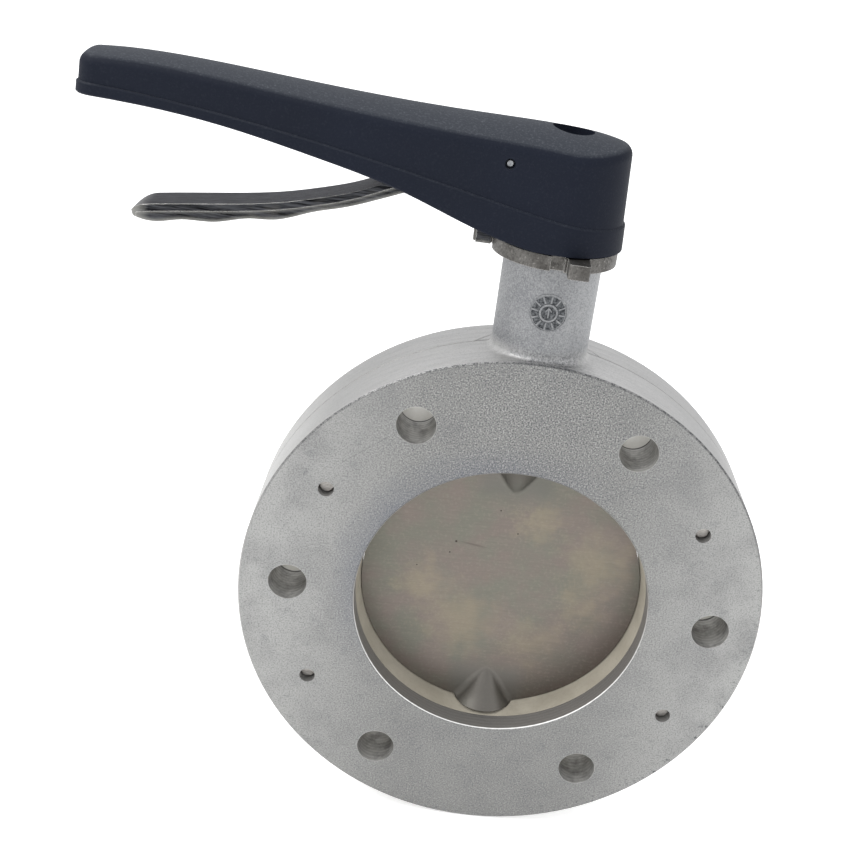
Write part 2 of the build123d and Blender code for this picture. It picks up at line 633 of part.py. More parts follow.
with BuildPart() as trigger_spring:
    spring_h = SPRING_TOP_Z - SPRING_SEAT_Z - 2 * WIRE_R - 0.2
    with BuildLine(Plane((SPRING_X, 0, SPRING_SEAT_Z + WIRE_R + 0.1))) as coil:
        Helix(pitch=spring_h / 5, height=spring_h, radius=SPRING_R)
    with BuildSketch(Plane(origin=coil.line @ 0, z_dir=coil.line % 0)):
        Circle(WIRE_R)
    sweep(is_frenet=True)
trigger_spring.part.label = "trigger_spring"
export_step(trigger_spring.part, "parts/trigger_spring.step")
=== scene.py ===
import math

import bmesh
import bpy
from mathutils import Matrix, Vector


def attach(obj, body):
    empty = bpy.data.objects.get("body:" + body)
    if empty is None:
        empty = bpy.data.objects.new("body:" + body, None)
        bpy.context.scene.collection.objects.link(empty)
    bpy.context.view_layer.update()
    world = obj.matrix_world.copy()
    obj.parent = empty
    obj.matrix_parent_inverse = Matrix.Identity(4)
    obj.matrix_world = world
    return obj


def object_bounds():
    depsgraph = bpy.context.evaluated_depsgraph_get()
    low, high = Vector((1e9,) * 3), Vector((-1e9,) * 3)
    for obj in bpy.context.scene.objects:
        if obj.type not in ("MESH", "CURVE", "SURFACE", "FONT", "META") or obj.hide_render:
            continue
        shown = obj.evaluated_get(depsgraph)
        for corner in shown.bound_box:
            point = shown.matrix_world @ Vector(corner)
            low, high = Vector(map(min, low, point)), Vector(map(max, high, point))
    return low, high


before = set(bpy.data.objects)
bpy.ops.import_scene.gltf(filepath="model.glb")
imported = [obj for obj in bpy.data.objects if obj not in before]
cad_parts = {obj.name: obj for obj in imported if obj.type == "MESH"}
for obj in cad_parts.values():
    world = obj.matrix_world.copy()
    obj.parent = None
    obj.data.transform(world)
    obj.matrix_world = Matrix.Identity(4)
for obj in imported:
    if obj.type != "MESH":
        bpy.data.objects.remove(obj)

cad_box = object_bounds()

# ---------------------------------------------------------------- camera
# A long lens at arm's length, standing a little above the bore and leaning to one side,
# so that the valve is seen from the front with the rim's upper edge in view.
camera_eye = Vector((-0.0343, -0.4090, 0.2351))
camera_aim = Vector((-0.0041, 0.0, 0.0650))
camera_lean = math.radians(9.0)
camera = bpy.data.objects.new("camera", bpy.data.cameras.new("camera"))
bpy.context.scene.collection.objects.link(camera)
aimed = (camera_aim - camera_eye).to_track_quat("-Z", "Y").to_matrix()
leaning = aimed @ Matrix.Rotation(camera_lean, 3, "Z")
camera.matrix_world = Matrix.Translation(camera_eye) @ leaning.to_4x4()
camera.data.lens = 55.8
camera.data.shift_x = -0.1
camera.data.shift_y = -0.023
bpy.context.scene.camera = camera
bpy.context.scene.view_settings.view_transform = "Standard"


# ---------------------------------------------------------------- light and floor
# A white sweep under the valve, lit by a pale room that is a little brighter overhead,
# with one large soft box high on the left and a weaker one on the right.
def linear(hex_code):
    """An sRGB hex colour as the linear colour that a socket takes."""
    shares = [int(hex_code[i:i + 2], 16) / 255 for i in (0, 2, 4)]
    return (*(s / 12.92 if s <= 0.04045 else ((s + 0.055) / 1.055) ** 2.4 for s in shares), 1)


# Sockets that share a name go by number. A map range takes its value at 0, the range it reads at 1
# and 2 and the range it gives at 3 and 4. A mix takes its share at 0 and its two colours at 6 and 7,
# or its two numbers at 2 and 3.
def node(tree, kind, inputs=(), out=None, **settings):
    """Adds a node, fills or links its inputs, and returns the output that is named or the first in use."""
    made = tree.nodes.new("ShaderNode" + kind)
    for name, value in settings.items():
        setattr(made, name, value)
    for key, value in dict(inputs).items():
        if isinstance(value, bpy.types.NodeSocket):
            tree.links.new(value, made.inputs[key])
        else:
            made.inputs[key].default_value = value
    if out is not None:
        return made.outputs[out]
    return next((o for o in made.outputs if o.enabled), made)


room = bpy.data.worlds.new("room")
bpy.context.scene.world = room
room.use_nodes = True
room.node_tree.nodes.clear()
skyward = node(room.node_tree, "SeparateXYZ", {0: node(room.node_tree, "TexCoord", out="Generated")},
               out="Z")
room_light = node(room.node_tree, "MapRange", {0: skyward, 1: 0.0, 2: 0.95, 3: 0.80, 4: 1.25})
background = node(room.node_tree, "Background", {"Color": linear("FBFCFF"), "Strength": room_light})
node(room.node_tree, "OutputWorld", {"Surface": background})

lit_point = Vector((-0.02, 0, 0.04))
for name, place, width, watts in (
    ("soft_box_left", (-0.8, -0.3, 1.0), 0.8, 12),
    ("soft_box_right", (1.1, -0.5, 0.7), 0.8, 2),
):
    box_light = bpy.data.lights.new(name, "AREA")
    box_light.size = width
    box_light.energy = watts
    soft_box = bpy.data.objects.new(name, box_light)
    soft_box.location = place
    soft_box.rotation_euler = (lit_point - soft_box.location).to_track_quat("-Z", "Y").to_euler()
    bpy.context.scene.collection.objects.link(soft_box)


def finish_named(name):
    """A new material, with its node tree and its Principled shader."""
    material = bpy.data.materials.new(name)
    material.use_nodes = True
    return material, material.node_tree, material.node_tree.nodes["Principled BSDF"]


half_sweep = 6.0
floor_gap = 0.0002
floor_z = cad_box[0].z - floor_gap
sweep_mesh = bpy.data.meshes.new("white_sweep")
sweep_mesh.from_pydata(
    [(-half_sweep, -half_sweep, floor_z), (half_sweep, -half_sweep, floor_z),
     (half_sweep, half_sweep, floor_z), (-half_sweep, half_sweep, floor_z)], [], [(0, 1, 2, 3)])
white_sweep = bpy.data.objects.new("white_sweep", sweep_mesh)
bpy.context.scene.collection.objects.link(white_sweep)

# painted board: even and matt, with a little glow of its own so that it stays white under the valve
painted_board, tree, shader = finish_named("painted_board_matt_white")
shader.inputs["Base Color"].default_value = linear("F2F2F1")
shader.inputs["Roughness"].default_value = 0.9
shader.inputs["Specular IOR Level"].default_value = 0.1
shader.inputs["Emission Color"].default_value = linear("FFFFFF")
shader.inputs["Emission Strength"].default_value = 0.46
sweep_mesh.materials.append(painted_board)


# ---------------------------------------------------------------- body: two castings
# The body is split on a plane near its middle and cast in aluminium, then shot-blasted.
# The faces keep a sandy grain, the rim is smoother and lighter, and only the bore,
# its edge and the bolt holes have been turned or drilled.
MM = 0.001
BORE_R = 50.0 * MM
FLANGE_R = 89.0 * MM
BOLT_CIRCLE_R = 72.5 * MM
BOLT_HOLE_R = 6.5 * MM
FRONT_Y = -18.0 * MM
SEAM_Y = 2.5 * MM
GAP_Y = 0.1 * MM
NECK_FOOT_Z = 88.0 * MM
POURED_AT = (0.004, FRONT_Y, 74 * MM)
PLATE_AT = (0.002, FRONT_Y, 117 * MM)
FOOT_AT = (0.003, -16 * MM, NECK_FOOT_Z)
GRIT = 0.9 * MM
FINE_GRIT = 0.5 * MM

cast_aluminium, tree, shader = finish_named("cast_aluminium_shot_blasted")
place = node(tree, "TexCoord", out="Object")
split = tree.nodes.new("ShaderNodeSeparateXYZ")
tree.links.new(place, split.inputs[0])
across, depth, height = split.outputs
normal_y = node(tree, "SeparateXYZ", {0: node(tree, "TexCoord", out="Normal")}, out="Y")
radius = node(tree, "VectorMath", {0: node(tree, "CombineXYZ", {0: across, 2: height})},
              operation="LENGTH", out="Value")
on_face = node(tree, "MapRange",
               {0: node(tree, "Math", {0: normal_y}, operation="ABSOLUTE"), 1: 0.90, 2: 0.98})
edge_zone = node(tree, "MapRange", {0: radius, 1: BORE_R + 0.9 * MM, 2: BORE_R + 1.1 * MM, 3: 1.0, 4: 0.0})
on_face = node(tree, "Math", {0: on_face, 1: edge_zone}, operation="MAXIMUM")
off_face = node(tree, "MapRange", {0: on_face, 3: 1.0, 4: 0.0})
on_neck = node(tree, "MapRange", {0: height, 1: NECK_FOOT_Z, 2: NECK_FOOT_Z + 5 * MM})

# the blasted skin's grain, drawn coarser than the real 0.4 mm so that it shows; it is roughest
# round the neck's foot, where the metal was poured, and fades towards the rest of the rim
grain = node(tree, "TexNoise", {"Vector": place, "Scale": 1 / GRIT, "Detail": 2.5, "Roughness": 0.7})
speckle = node(tree, "TexNoise", {"Vector": place, "Scale": 1 / FINE_GRIT, "Detail": 1.5})
patches = node(tree, "TexNoise",
               {"Vector": place, "Scale": 1 / (16 * MM), "Detail": 5.0, "Roughness": 0.62})
clouds = node(tree, "TexNoise", {"Vector": place, "Scale": 1 / (70 * MM), "Detail": 2.0})
from_pour = node(tree, "VectorMath", {0: place, 1: POURED_AT}, operation="DISTANCE", out="Value")
from_pour = node(tree, "Math",
                 {0: from_pour, 1: node(tree, "Math", {0: patches, 1: 30 * MM}, operation="MULTIPLY")},
                 operation="ADD")
rough_sand = node(tree, "MapRange", {0: from_pour, 1: 28 * MM, 2: 72 * MM, 3: 1.0, 4: 0.5})
from_plate = node(tree, "VectorMath", {0: place, 1: PLATE_AT}, operation="DISTANCE", out="Value")
under_plate = node(tree, "MapRange", {0: from_plate, 1: 3 * MM, 2: 9 * MM, 3: 1.0, 4: 0.0})
from_foot = node(tree, "VectorMath", {0: place, 1: FOOT_AT}, operation="DISTANCE", out="Value")
neck_foot = node(tree, "MapRange", {0: from_foot, 1: 6 * MM, 2: 17 * MM, 3: 1.0, 4: 0.0})
rough_sand = node(tree, "Math", {0: rough_sand, 1: under_plate}, operation="MAXIMUM")

# the face is palest towards its two sides, and a bluish stain runs round the bore's upper left
patch_mask = node(tree, "MapRange", {0: patches, 1: 0.44, 2: 0.66})
cloud_mask = node(tree, "MapRange", {0: clouds, 1: 0.35, 2: 0.65})
sideways = node(tree, "Math", {0: across}, operation="ABSOLUTE")
sideways = node(tree, "Math",
                {0: sideways, 1: node(tree, "Math", {0: patches, 1: 18 * MM}, operation="MULTIPLY")},
                operation="ADD")
pale_sides = node(tree, "MapRange", {0: sideways, 1: 42 * MM, 2: 86 * MM})
blasted = node(tree, "Mix", {0: pale_sides, 6: linear("80807E"), 7: linear("9A9A98")}, data_type="RGBA")
blasted = node(tree, "Mix", {0: node(tree, "Math", {0: patch_mask, 1: 0.5}, operation="MULTIPLY"),
                             6: blasted, 7: linear("727272")}, data_type="RGBA")
smudges = node(tree, "TexNoise", {"Vector": place, "Scale": 1 / (5 * MM), "Detail": 4.0, "Roughness": 0.7})
smudge_mask = node(tree, "MapRange", {0: smudges, 1: 0.58, 2: 0.74, 3: 0.0, 4: 0.4})
blasted = node(tree, "Mix", {0: smudge_mask, 6: blasted, 7: linear("66676A")}, data_type="RGBA")
from_edge = node(tree, "Math",
                 {0: radius, 1: node(tree, "Math", {0: patches, 1: 22 * MM}, operation="MULTIPLY")},
                 operation="ADD")
near_bore = node(tree, "MapRange", {0: from_edge, 1: BORE_R + 10 * MM, 2: BORE_R + 22 * MM, 3: 1.0, 4: 0.0})
upper_left = node(tree, "Math", {0: height, 1: across}, operation="SUBTRACT")
upper_left = node(tree, "MapRange", {0: upper_left, 1: 12 * MM, 2: 52 * MM})
blue_stain = node(tree, "Math", {0: near_bore, 1: upper_left}, operation="MULTIPLY")
blue_stain = node(tree, "Math", {0: blue_stain, 1: 0.7}, operation="MULTIPLY")
blasted = node(tree, "Mix", {0: blue_stain, 6: blasted, 7: linear("686A70")}, data_type="RGBA")
# the rim's fine lines run the way it was ground, along its edge
along_rim = node(tree, "VectorMath", {0: place, 1: (0.10, 1.0, 0.10)}, operation="MULTIPLY")
rim_lines = node(tree, "TexNoise",
                 {"Vector": along_rim, "Scale": 1 / (1.4 * MM), "Detail": 3.0, "Roughness": 0.65})
line_mask = node(tree, "MapRange", {0: rim_lines, 1: 0.42, 2: 0.66})
rim_tone = node(tree, "Mix", {0: cloud_mask, 6: linear("ADACAA"), 7: linear("A2A19F")}, data_type="RGBA")
# painted light: the rim is painted paler towards its top, where light from above falls on it
rim_top = node(tree, "MapRange", {0: height, 1: 64 * MM, 2: 86 * MM})
rim_tone = node(tree, "Mix", {0: rim_top, 6: rim_tone, 7: linear("C3C2C0")}, data_type="RGBA")
rim_tone = node(tree, "Mix", {0: node(tree, "Math", {0: line_mask, 1: 0.3}, operation="MULTIPLY"),
                              6: rim_tone, 7: linear("989896")}, data_type="RGBA")
neck_tone = node(tree, "Mix", {0: patch_mask, 6: linear("868788"), 7: linear("7A7B7D")}, data_type="RGBA")
# the neck's skin is paler towards its right side, partly wear and partly painted light, and painted shade
# lies at its foot
# partly wear, partly painted light: the neck is paler towards its right side
neck_right = node(tree, "MapRange", {0: across, 1: 3 * MM, 2: 15 * MM, 3: 0.0, 4: 0.6})
neck_tone = node(tree, "Mix", {0: neck_right, 6: neck_tone, 7: linear("A2A3A4")}, data_type="RGBA")
# painted shade: the crease at the neck's foot is darkened, broken up by the grain
foot_shade = node(tree, "Math", {0: neck_foot, 1: off_face}, operation="MULTIPLY")
foot_shade = node(tree, "Math",
                  {0: foot_shade, 1: node(tree, "MapRange", {0: grain, 1: 0.35, 2: 0.6, 3: 0.9, 4: 0.3})},
                  operation="MULTIPLY")
rim_tone = node(tree, "Mix", {0: foot_shade, 6: rim_tone, 7: linear("606163")}, data_type="RGBA")
skin = node(tree, "Mix", {0: on_face, 6: rim_tone, 7: blasted}, data_type="RGBA")
skin = node(tree, "Mix", {0: on_neck, 6: skin, 7: neck_tone}, data_type="RGBA")

dark_grain = node(tree, "MapRange", {0: speckle, 1: 0.34, 2: 0.50, 3: 1.0, 4: 0.0})
light_grain = node(tree, "MapRange", {0: speckle, 1: 0.54, 2: 0.66})
grain_share = node(tree, "MapRange", {0: on_face, 3: 0.25, 4: 0.80})
grain_share = node(tree, "Math", {0: grain_share, 1: rough_sand}, operation="MULTIPLY")
foot_share = node(tree, "Math", {0: neck_foot, 1: 0.55}, operation="MULTIPLY")
grain_share = node(tree, "Math", {0: grain_share, 1: foot_share}, operation="MAXIMUM")
grain_share = node(tree, "Mix", {0: on_neck, 2: grain_share, 3: 0.36})
dark_share = node(tree, "Math", {0: dark_grain, 1: grain_share}, operation="MULTIPLY")
light_share = node(tree, "Math", {0: light_grain, 1: grain_share}, operation="MULTIPLY")
skin = node(tree, "Mix", {0: dark_share, 6: skin, 7: linear("484A4C")}, data_type="RGBA")
skin = node(tree, "Mix", {0: light_share, 6: skin, 7: linear("A3A2A0")}, data_type="RGBA")

# four thin scratches from handling, each a straight line between two points of the face, in mm
SCRATCH_HALF_W = 0.13 * MM
for (x1, z1), (x2, z2) in (((-36.9, 77.9), (-34.7, 72.0)), ((-58.6, 46.5), (-45.2, 57.1)),
                           ((27.5, 44.0), (38.0, 51.5)), ((-50.0, -52.0), (-44.5, -57.5))):
    length = math.hypot(x2 - x1, z2 - z1)
    along = ((x2 - x1) / length, 0, (z2 - z1) / length)
    beside = (along[2], 0, -along[0])
    middle = ((x1 + x2) / 2 * along[0] + (z1 + z2) / 2 * along[2]) * MM
    offset = (x1 * beside[0] + z1 * beside[2]) * MM
    run = node(tree, "VectorMath", {0: place, 1: along}, operation="DOT_PRODUCT", out="Value")
    drift = node(tree, "VectorMath", {0: place, 1: beside}, operation="DOT_PRODUCT", out="Value")
    run = node(tree, "Math", {0: run, 1: middle, 2: length / 2 * MM}, operation="COMPARE")
    drift = node(tree, "Math", {0: drift, 1: offset, 2: SCRATCH_HALF_W}, operation="COMPARE")
    scratch = node(tree, "Math", {0: run, 1: drift}, operation="MULTIPLY")
    scratch = node(tree, "Math",
                   {0: scratch, 1: node(tree, "MapRange", {0: grain, 1: 0.4, 2: 0.6, 4: 0.7})},
                   operation="MULTIPLY")
    scratch = node(tree, "Math", {0: scratch, 1: on_face}, operation="MULTIPLY")
    skin = node(tree, "Mix", {0: scratch, 6: skin, 7: linear("5C5D5E")}, data_type="RGBA")

# drilled bolt holes: the circle is folded into one sixth, so that one hole's sum serves all six.
# The drill left rings and smears, the gap between the halves shows as a dark line, and the hole's rear half
# carries painted light.
angle = node(tree, "Math", {0: height, 1: across}, operation="ARCTAN2")
folded = node(tree, "Math", {0: angle, 1: math.pi / 6}, operation="PINGPONG")
hole_x = node(tree, "Math", {0: radius, 1: node(tree, "Math", {0: folded}, operation="COSINE")},
              operation="MULTIPLY")
hole_x = node(tree, "Math", {0: hole_x, 1: BOLT_CIRCLE_R}, operation="SUBTRACT")
hole_z = node(tree, "Math", {0: radius, 1: node(tree, "Math", {0: folded}, operation="SINE")},
              operation="MULTIPLY")
from_hole = node(tree, "VectorMath", {0: node(tree, "CombineXYZ", {0: hole_x, 1: hole_z})},
                 operation="LENGTH", out="Value")
in_hole = node(tree, "MapRange", {0: from_hole, 1: BOLT_HOLE_R + 0.02 * MM, 2: BOLT_HOLE_R + 0.06 * MM,
                                  3: 1.0, 4: 0.0})
in_bore = node(tree, "MapRange", {0: radius, 1: BORE_R + 0.10 * MM, 2: BORE_R + 0.25 * MM, 3: 1.0, 4: 0.0})
tool_feed = 1.7 * MM
turn_angle = node(tree, "Math", {0: depth, 1: 2 * math.pi / tool_feed}, operation="MULTIPLY")
turn_angle = node(tree, "Math",
                  {0: turn_angle, 1: node(tree, "Math", {0: patches, 1: 9.0}, operation="MULTIPLY")},
                  operation="ADD")
tool_rings = node(tree, "MapRange",
                  {0: node(tree, "Math", {0: turn_angle}, operation="SINE"), 1: -1.0, 2: 1.0})
drilled = node(tree, "Mix", {0: tool_rings, 6: linear("B8B7B4"), 7: linear("CBCAC7")}, data_type="RGBA")
drill_smear = node(tree, "MapRange", {0: smudges, 1: 0.42, 2: 0.66, 3: 0.0, 4: 0.75})
drilled = node(tree, "Mix", {0: drill_smear, 6: drilled, 7: linear("7C7A78")}, data_type="RGBA")
# painted light: the hole's rear half, lit from behind the valve, is painted paler
behind_seam = node(tree, "MapRange", {0: depth, 1: 0.2 * MM, 2: 0.5 * MM})
drilled = node(tree, "Mix", {0: behind_seam, 6: drilled, 7: linear("D2D0CA")}, data_type="RGBA")
from_gap = node(tree, "Math", {0: depth, 1: GAP_Y}, operation="SUBTRACT")
from_gap = node(tree, "Math", {0: from_gap}, operation="ABSOLUTE")
gap_shade = node(tree, "MapRange", {0: from_gap, 1: 0.25 * MM, 2: 0.6 * MM, 3: 0.85, 4: 0.0})
drilled = node(tree, "Mix", {0: gap_shade, 6: drilled, 7: linear("3E3E3D")}, data_type="RGBA")
turned = node(tree, "Mix", {0: tool_rings, 6: linear("94928F"), 7: linear("9B9996")}, data_type="RGBA")
skin = node(tree, "Mix", {0: in_hole, 6: skin, 7: drilled}, data_type="RGBA")
skin = node(tree, "Mix", {0: in_bore, 6: skin, 7: turned}, data_type="RGBA")

# a painted highlight runs along the lower half of the bore's front edge, which was broken with a tool; the
# rim's has a dark, broken burr line
on_front = node(tree, "MapRange", {0: depth, 1: FRONT_Y + 0.3 * MM, 2: FRONT_Y + 0.7 * MM, 3: 1.0, 4: 0.0})
bore_edge = node(tree, "MapRange",
                 {0: radius, 1: BORE_R + 0.15 * MM, 2: BORE_R + 0.30 * MM, 3: 1.0, 4: 0.0})
bore_edge = node(tree, "Math", {0: bore_edge, 1: on_front}, operation="MULTIPLY")
lower_half = node(tree, "MapRange", {0: height, 1: 8 * MM, 2: -30 * MM, 3: 0.0, 4: 1.0})
bore_edge = node(tree, "Math", {0: bore_edge, 1: lower_half}, operation="MULTIPLY")
skin = node(tree, "Mix", {0: bore_edge, 6: skin, 7: linear("F4F4F1")}, data_type="RGBA")
burr_r = node(tree, "Math",
              {0: radius, 1: node(tree, "Math", {0: grain, 1: 0.7 * MM}, operation="MULTIPLY")},
              operation="ADD")
burr = node(tree, "MapRange", {0: burr_r, 1: FLANGE_R - 0.40 * MM, 2: FLANGE_R - 0.15 * MM})
burr = node(tree, "Math", {0: burr, 1: on_front}, operation="MULTIPLY")
burr_top = node(tree, "MapRange", {0: height, 1: 0.0, 2: 60 * MM, 3: 0.10, 4: 0.90})
broken = node(tree, "MapRange", {0: speckle, 1: 0.42, 2: 0.58, 3: 0.50, 4: 1.0})
burr_top = node(tree, "Math", {0: burr_top, 1: broken}, operation="MULTIPLY")
burr = node(tree, "Math", {0: burr, 1: burr_top}, operation="MULTIPLY")
skin = node(tree, "Mix", {0: burr, 6: skin, 7: linear("2E3032")}, data_type="RGBA")

# knocks along the face's edge, most of them low on the right
knocks = node(tree, "TexNoise", {"Vector": place, "Scale": 1 / (1.8 * MM), "Detail": 4.0, "Roughness": 0.7})
knocks = node(tree, "MapRange", {0: knocks, 1: 0.56, 2: 0.64})
knock_zone = node(tree, "MapRange", {0: burr_r, 1: FLANGE_R - 5.5 * MM, 2: FLANGE_R - 0.5 * MM})
low_right = node(tree, "Math", {0: across, 1: height}, operation="SUBTRACT")
low_right = node(tree, "MapRange", {0: low_right, 1: 30 * MM, 2: 110 * MM, 3: 0.1, 4: 1.0})
knocks = node(tree, "Math", {0: knocks, 1: knock_zone}, operation="MULTIPLY")
knocks = node(tree, "Math", {0: knocks, 1: low_right}, operation="MULTIPLY")
knocks = node(tree, "Math", {0: knocks, 1: on_face}, operation="MULTIPLY")
skin = node(tree, "Mix", {0: knocks, 6: skin, 7: linear("4A4C4E")}, data_type="RGBA")

# dirt in the fine groove where the halves meet round the rim
from_seam = node(tree, "Math", {0: node(tree, "Math", {0: depth, 1: SEAM_Y}, operation="SUBTRACT")},
                 operation="ABSOLUTE")
seam_dirt = node(tree, "MapRange", {0: from_seam, 1: 0.15 * MM, 2: 0.45 * MM, 3: 0.8, 4: 0.0})
on_rim = node(tree, "MapRange", {0: radius, 1: FLANGE_R - 1.0 * MM, 2: FLANGE_R - 0.7 * MM})
seam_dirt = node(tree, "Math", {0: seam_dirt, 1: on_rim}, operation="MULTIPLY")
off_neck = node(tree, "MapRange", {0: on_neck, 3: 1.0, 4: 0.0})
seam_dirt = node(tree, "Math", {0: seam_dirt, 1: off_neck}, operation="MULTIPLY")
skin = node(tree, "Mix", {0: seam_dirt, 6: skin, 7: linear("6C6B68")}, data_type="RGBA")

tree.links.new(skin, shader.inputs["Base Color"])
shader.inputs["Metallic"].default_value = 0.8
blast_sheen = node(tree, "MapRange", {0: grain, 1: 0.3, 2: 0.7, 3: 0.62, 4: 0.46})
tree.links.new(blast_sheen, shader.inputs["Roughness"])
relief = node(tree, "Math", {0: grain, 1: rough_sand}, operation="MULTIPLY")
relief_share = node(tree, "MapRange", {0: on_face, 3: 0.35, 4: 1.0})
relief_share = node(tree, "Mix", {0: on_neck, 2: relief_share, 3: 0.6})
relief = node(tree, "Math", {0: relief, 1: relief_share}, operation="MULTIPLY")
sand_relief = node(tree, "Bump", {"Height": relief, "Distance": 0.22 * MM, "Strength": 0.9})
drilled_any = node(tree, "Math", {0: in_hole, 1: in_bore}, operation="MAXIMUM")
ring_relief = node(tree, "Math", {0: tool_rings, 1: drilled_any}, operation="MULTIPLY")
ring_relief = node(tree, "Bump",
                   {"Height": ring_relief, "Distance": 0.05 * MM, "Strength": 0.4, "Normal": sand_relief})
tree.links.new(ring_relief, shader.inputs["Normal"])


def give(material, *names):
    """Puts a finish on CAD nodes, in the slot that each already has."""
    for name in names:
        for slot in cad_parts[name].material_slots:
            slot.material = material


give(cast_aluminium, "body_front", "body_rear")

# ---------------------------------------------------------------- dowels
# Four drawn steel pins, pressed in 3 mm below the faces, that line the halves up.
# Their cropped ends are dull, with the cropping blade's marks across them.
drawn_steel, tree, shader = finish_named("drawn_steel_cropped_end")
place = node(tree, "TexCoord", out="Object")
crop_marks = node(tree, "TexNoise",
                  {"Vector": node(tree, "VectorMath", {0: place, 1: (1.0, 1.0, 6.0)}, operation="MULTIPLY"),
                                     "Scale": 1 / (1.2 * MM), "Detail": 3.0})
crop_mask = node(tree, "MapRange", {0: crop_marks, 1: 0.35, 2: 0.65})
tone = node(tree, "Mix", {0: crop_mask, 6: linear("B4B1AC"), 7: linear("8F8B87")}, data_type="RGBA")
tree.links.new(tone, shader.inputs["Base Color"])
shader.inputs["Metallic"].default_value = 1.0
shader.inputs["Roughness"].default_value = 0.5
tree.links.new(node(tree, "Bump", {"Height": crop_marks, "Distance": 0.05 * MM, "Strength": 0.6}),
               shader.inputs["Normal"])
give(drawn_steel, "joining_dowels")

# ---------------------------------------------------------------- seat ring
# Moulded cream elastomer that lines the bore and is squeezed by the disc's edge.
# It is smooth and slightly waxy, with faint flow marks round the ring and a little grey dirt.
moulded_elastomer, tree, shader = finish_named("moulded_cream_elastomer")
place = node(tree, "TexCoord", out="Object")
flow = node(tree, "TexNoise", {"Vector": place, "Scale": 1 / (14 * MM), "Detail": 4.0, "Roughness": 0.6})
dust = node(tree, "TexNoise", {"Vector": place, "Scale": 1 / (1.1 * MM), "Detail": 2.0})
flow_mask = node(tree, "MapRange", {0: flow, 1: 0.38, 2: 0.64})
dust_mask = node(tree, "MapRange", {0: dust, 1: 0.50, 2: 0.75, 3: 0.0, 4: 0.25})
cream = node(tree, "Mix", {0: flow_mask, 6: linear("A7A193"), 7: linear("999385")}, data_type="RGBA")
cream = node(tree, "Mix", {0: dust_mask, 6: cream, 7: linear("857F74")}, data_type="RGBA")
tree.links.new(cream, shader.inputs["Base Color"])
shader.inputs["Roughness"].default_value = 0.48
shader.inputs["IOR"].default_value = 1.5
tree.links.new(node(tree, "Bump", {"Height": dust, "Distance": 0.03 * MM, "Strength": 0.4}),
               shader.inputs["Normal"])
give(moulded_elastomer, "seat_ring")

# the seat's crest, squeezed up against the disc's rim; it stops short of the two bosses
CREST_R = 48.78 * MM
CREST_FOOT_R = 49.35 * MM
CREST_HALF_W = 3.4 * MM
CREST_STEPS = 80
END_STEPS = 3
SIDE_POINTS = 4
BOSS_ANGLE = 13.5
crest_mesh = bmesh.new()
for first, last in ((BOSS_ANGLE, 180 - BOSS_ANGLE), (180 + BOSS_ANGLE, 360 - BOSS_ANGLE)):
    rows = []
    for step in range(CREST_STEPS + 1):
        turn = math.radians(first + (last - first) * step / CREST_STEPS)
        shrink = min(1.0, min(step, CREST_STEPS - step) / END_STEPS)
        row = []
        for part in range(-SIDE_POINTS, SIDE_POINTS + 1):
            lift = (CREST_FOOT_R - CREST_R) * (1 - (part / SIDE_POINTS) ** 2) * shrink
            reach = CREST_FOOT_R - lift
            aside = CREST_HALF_W * part / SIDE_POINTS
            row.append(crest_mesh.verts.new((reach * math.sin(turn), aside, reach * math.cos(turn))))
        buried = CREST_FOOT_R + MM
        row.append(crest_mesh.verts.new((buried * math.sin(turn), 0, buried * math.cos(turn))))
        rows.append(row)
    for one, two in zip(rows, rows[1:]):
        for a in range(len(one)):
            b = (a + 1) % len(one)
            crest_mesh.faces.new((one[a], one[b], two[b], two[a]))
    crest_mesh.faces.new(rows[0])
    crest_mesh.faces.new(rows[-1][::-1])
bmesh.ops.recalc_face_normals(crest_mesh, faces=crest_mesh.faces)
crest_data = bpy.data.meshes.new("seat_crest")
crest_mesh.to_mesh(crest_data)
crest_mesh.free()
crest_data.polygons.foreach_set("use_smooth", [True] * len(crest_data.polygons))
crest_data.materials.append(moulded_elastomer)
seat_crest = bpy.data.objects.new("seat_crest", crest_data)
bpy.context.scene.collection.objects.link(seat_crest)
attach(seat_crest, "valve_body")

# ---------------------------------------------------------------- disc
# Investment-cast stainless steel, linished across its face and then pickled.
# Pickling leaves warm brown and greenish clouds, and the linisher very fine level scratches.
DISC_FACE_Y = -2.25 * MM
CLOUD_WANDER = 34 * MM

pickled_stainless, tree, shader = finish_named("cast_stainless_linished_pickled")
place = node(tree, "TexCoord", out="Object")
split = tree.nodes.new("ShaderNodeSeparateXYZ")
tree.links.new(place, split.inputs[0])
across, depth, height = split.outputs
wander = node(tree, "TexNoise", {"Vector": place, "Scale": 1 / (8 * MM), "Detail": 6.0, "Roughness": 0.7},
              out="Color")
wandered = node(tree, "VectorMath", {0: wander, 1: (CLOUD_WANDER, 0, CLOUD_WANDER), 2: place},
                operation="MULTIPLY_ADD")
wandered = node(tree, "VectorMath", {0: wandered, 1: (CLOUD_WANDER / 2, 0, CLOUD_WANDER / 2)},
                operation="SUBTRACT")
mottle = node(tree, "TexNoise", {"Vector": place, "Scale": 1 / (16 * MM), "Detail": 5.0, "Roughness": 0.6})
level = node(tree, "VectorMath", {0: place, 1: (1.0, 1.0, 16.0)}, operation="MULTIPLY")
scratches = node(tree, "TexNoise",
                 {"Vector": level, "Scale": 1 / (8 * MM), "Detail": 5.0, "Roughness": 0.75})
fine = node(tree, "TexNoise", {"Vector": place, "Scale": 1 / (1.0 * MM), "Detail": 2.0})
steel = node(tree, "Mix", {0: node(tree, "MapRange", {0: mottle, 1: 0.42, 2: 0.60}),
                           6: linear("6F6761"), 7: linear("6C6B62")}, data_type="RGBA")
